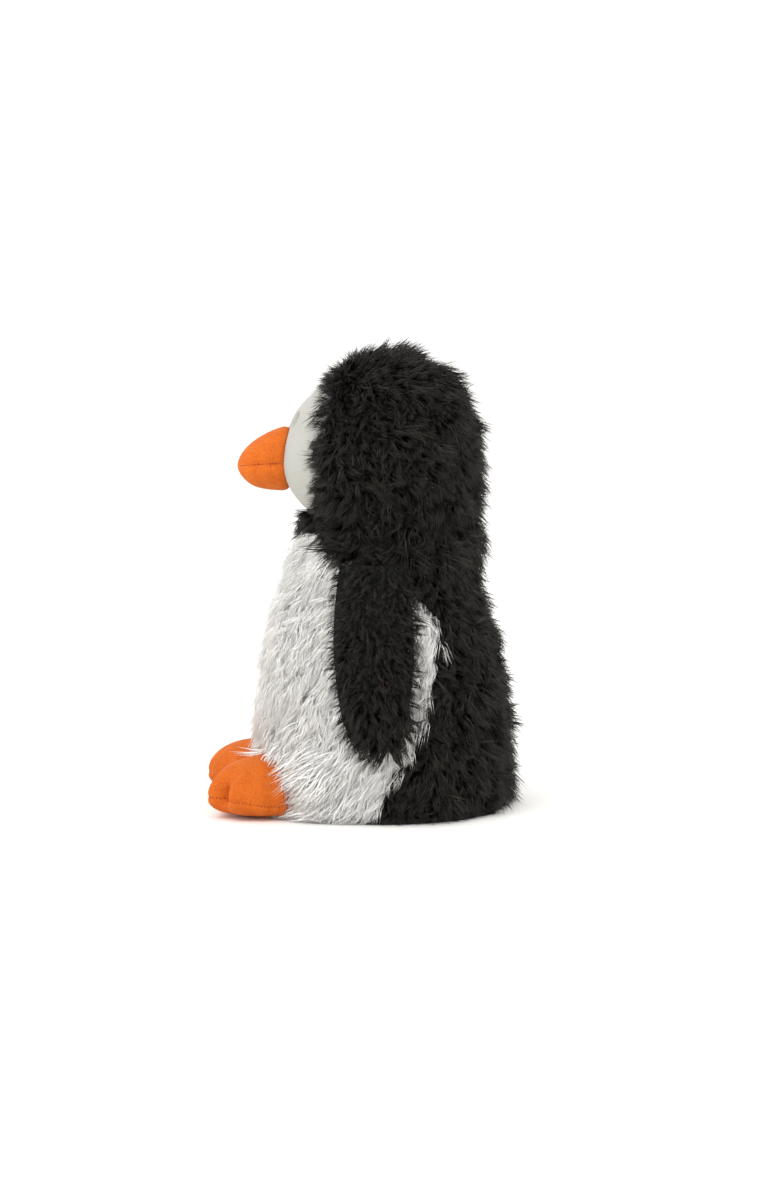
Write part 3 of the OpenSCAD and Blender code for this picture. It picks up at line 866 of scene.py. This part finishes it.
for side, title in SIDES:
    solid = solid_of(f"{title}_flipper_outer", f"{title}_flipper_inner")
    outer, inner = [], []
    for v in flipper_down:
        z = SHOULDER_Z - FLIPPER_L * v
        outer_row, inner_row = [], []
        for u in flipper_across:
            y = FLIPPER_Y + u * flipper_width(v) * CORE_EDGE
            far, near = (flipper_x(solid, side, y, z, start) for start in (RAY_OUTSIDE, RAY_INSIDE))
            middle, half = (far + near) / 2, max(0.8 * MM, (far - near) / 2 - FLIPPER_PILE * 0.62)
            half *= math.sqrt(max(0.05, 1 - u * u)) * math.sqrt(max(0.2, min(1, (1 - v) / 0.2)))
            outer_row.append(Vector((side * (middle + half), y, z)))
            inner_row.append(Vector((side * (middle - half - 0.2 * MM), y, z)))
        outer.append(outer_row)
        inner.append(inner_row)
    rows = [o + i[::-1] for o, i in zip(outer, inner)]
    if side < 0:
        rows = [row[::-1] for row in rows]
    rows.reverse()
    core = closed_tube(
        f"{title}_flipper_cover", rows,
        sum(rows[0], Vector()) / len(rows[0]) + Vector((0, 0, -1.0 * MM)),
        sum(rows[-1], Vector()) / len(rows[-1]) + Vector((0, 0, 1.0 * MM)), [black_backing.material])
    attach(core, f"{title}_flipper")
    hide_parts(f"{title}_flipper_outer", f"{title}_flipper_inner", f"{title}_flipper_stuffing")

    points, combs, longs = [], [], []
    count = len(rows[0])
    for row in rows:
        middle = sum(row, Vector()) / count
        for p in row:
            out = p - middle
            inside = out.x * side < 0
            turn = swirl(p, 0.015, 14) * 2.4 + swirl(p, 0.06, 15) * 0.8
            comb = Vector((0, out.y / FLIPPER_HALF_W * 0.8 + turn * 0.5, -1))
            comb.x += side * 1.0 * ease(p.z, SHOULDER_Z - 8 * MM, SHOULDER_Z - 2 * MM)
            points.append(p)
            combs.append(comb.normalized())
            low = ease(SHOULDER_Z - p.z, 0.07, 0.11)
            longs.append((0.5 if inside else 0.72 + 0.5 * low) * (1 + swirl(p, 0.012, 16) * 0.5))
    top = (len(rows) - 1) * count
    faces = tube_faces(len(rows), count)
    faces += [tuple(range(count - 1, -1, -1)), tuple(range(top, top + count))]
    fur = pile(f"{title}_flipper_pile", panel("patch", points, faces, combs, longs),
               Locks=black_locks, Spacing=1.9 * MM, Seed=70 + side, Stray=0.8, Shortest=0.65,
               Longest=1.25, Finish=black_pile)
    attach(fur, f"{title}_flipper")


# ---------- Feet ----------
# A foot is a stuffed cushion of the orange velour, with a seam round it above the sole. A thread
# through its front pulls two creases in, which part three toes.

FOOT_X, FOOT_Y, FOOT_YAW = 31 * MM, -72.6 * MM, math.radians(22)
FOOT_L, FOOT_HALF_W, FOOT_H = 40 * MM, 26 * MM, 37 * MM
FOOT_SEAM_Z, FOOT_SEAM_RISE = 8.5 * MM, 5 * MM
CREASE_TURN, CREASE_HALF = 14.0, 6.5


def foot_seam(turn):
    return FOOT_SEAM_Z + FOOT_SEAM_RISE * math.cos(math.radians(turn)) ** 2


def on_foot(turn, rise):
    """Point of a foot in its own frame: turn is 0 at the middle toe, rise is 90 at its top."""
    t, r = math.radians(turn), math.radians(rise)
    reach_out = 1 / math.hypot(math.sin(t) / FOOT_HALF_W, math.cos(t) / FOOT_L)
    toe = 1.0 + 0.02 * math.cos(math.radians(turn * 180 / CREASE_TURN))
    crease = sum(math.exp(-((turn - s * CREASE_TURN) / CREASE_HALF) ** 2) for s in (1, -1))
    down = ease(rise, 58, 4) * (0.3 + 0.7 * ease(rise, -40, 4))
    pinch = math.exp(-((abs(turn) - CREASE_TURN) / 4.0) ** 2 - ((rise - 6) / 11) ** 2)
    seam = math.exp(-(rise / 4.0) ** 2)
    out = reach_out * toe * (1 - 0.15 * crease * down) - 6.5 * MM * pinch
    out -= 0.8 * MM * seam * (1 + 0.3 * math.sin(turn * 0.9))
    if rise > 0:
        flat, up = math.cos(r) ** 0.95, math.sin(r)
        height = FOOT_H - foot_seam(turn)
    else:
        flat, up = math.cos(r) ** 0.72, -abs(math.sin(r)) ** 0.85
        height = foot_seam(turn) - 0.6 * MM
    return Vector((out * flat * math.sin(t), out * flat * math.cos(t), foot_seam(turn) + height * up))


def place_foot(p, side):
    """A foot's own point, put at its place on one side of the toy."""
    c, s = math.cos(math.pi + FOOT_YAW), math.sin(math.pi + FOOT_YAW)
    return Vector((side * (FOOT_X + p.x * c - p.y * s), FOOT_Y + p.x * s + p.y * c, p.z))


foot_turns = [3.0 * i for i in range(-37, 38)]
foot_rises = [-88, -84, -76, -66, -56, -46, -37, -28, -20, -14, -9, -5, -2, 0, 2, 5, 9, 14, 19,
              24, 30, 36, 42, 48, 54, 60, 66, 72, 78, 84, 88]
for side, title in SIDES:
    rows = []
    for rise in foot_rises:
        front = [on_foot(t, rise) for t in foot_turns]
        last, first = front[-1], front[0]
        back = [last.lerp(first, k / 13) for k in range(1, 13)]
        rows.append([place_foot(p, side) for p in front + back])
    if side > 0:
        rows = [row[::-1] for row in rows]
    foot = closed_tube(f"{title}_foot", rows, sum(rows[0], Vector()) / len(rows[0]),
                       sum(rows[-1], Vector()) / len(rows[-1]), [velour.material])
    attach(foot, f"{title}_foot")
    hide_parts(f"{title}_foot_top", f"{title}_foot_sole", f"{title}_foot_stuffing")
    path = [place_foot(on_foot(-80 + 2 * i, 0), side) for i in range(81)]
    stitches(f"{title}_foot_stitches", [path], f"{title}_foot", thread.material)


size = {"cad": [list(map(float, corner)) for corner in cad_box],
        "visual": [list(map(float, corner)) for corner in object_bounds()]}
